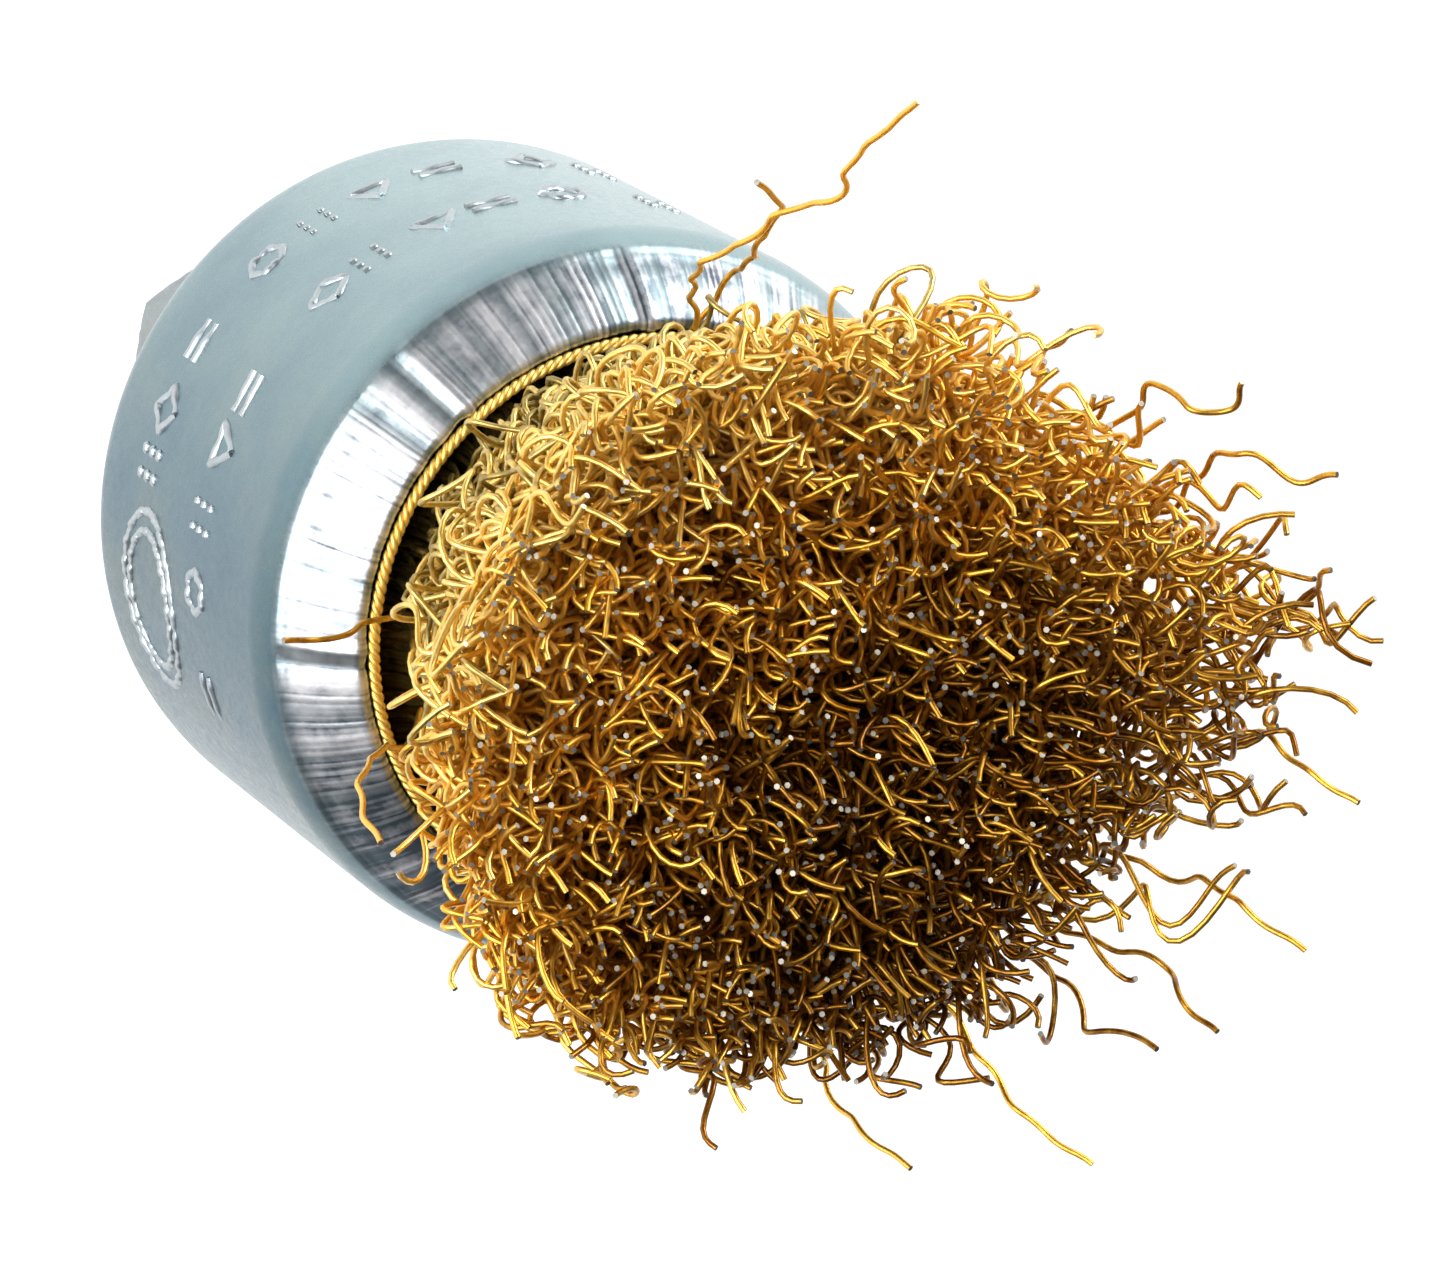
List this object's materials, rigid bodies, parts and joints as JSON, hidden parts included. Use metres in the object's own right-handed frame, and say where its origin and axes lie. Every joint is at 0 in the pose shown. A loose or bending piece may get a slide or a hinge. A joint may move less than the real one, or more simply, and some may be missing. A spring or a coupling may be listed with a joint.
{
  "type": "crimped wire cup brush",
  "caption": "Cup brush for an angle grinder: plated hex drive nut staked to a drawn cup, whose swaged mouth grips a flared bundle of crimped brass-coated wires.",
  "frame": {"origin": "centre of the drive nut's rear face, where the tool's spindle shoulder seats", "axes": "+Z along the spindle axis towards the wire tips; a corner of the nut points to +Y; the brush stands on its nut"},
  "size_m": [0.0447, 0.0455, 0.0726],
  "materials": {
    "cup_zinc": "blue-passivated zinc plate, semi-gloss",
    "nut_zinc": "zinc plate, semi-gloss",
    "bare_steel": "plain rolled steel",
    "binding_wire": "brass-coated, satin",
    "brass_wire": "brass-coated steel wire, semi-gloss"
  },
  "bodies": {
    "root": {"backing_washer": "bare_steel", "centre_tuft": "brass_wire", "clamp_plate": "bare_steel", "core_ring": "bare_steel", "cup_shell": "cup_zinc", "hex_nut": "nut_zinc", "inner_tuft_01": "brass_wire", "inner_tuft_02": "brass_wire", "inner_tuft_03": "brass_wire", "inner_tuft_04": "brass_wire", "inner_tuft_05": "brass_wire", "inner_tuft_06": "brass_wire", "mouth_ring": "binding_wire", "outer_tuft_01": "brass_wire", "outer_tuft_02": "brass_wire", "outer_tuft_03": "brass_wire", "outer_tuft_04": "brass_wire", "outer_tuft_05": "brass_wire", "outer_tuft_06": "brass_wire", "outer_tuft_07": "brass_wire", "outer_tuft_08": "brass_wire", "outer_tuft_09": "brass_wire", "outer_tuft_10": "brass_wire", "outer_tuft_11": "brass_wire", "outer_tuft_12": "brass_wire", "retaining_ring": "bare_steel", "stray_wire_01": "brass_wire", "stray_wire_02": "brass_wire", "stray_wire_03": "brass_wire", "stray_wire_04": "brass_wire", "stray_wire_05": "brass_wire", "stray_wire_06": "brass_wire", "stray_wire_07": "brass_wire", "stray_wire_08": "brass_wire", "stray_wire_09": "brass_wire", "stray_wire_10": "brass_wire", "stray_wire_11": "brass_wire", "stray_wire_12": "brass_wire", "stray_wire_13": "brass_wire", "stray_wire_14": "brass_wire"}
  },
  "joints": []
}
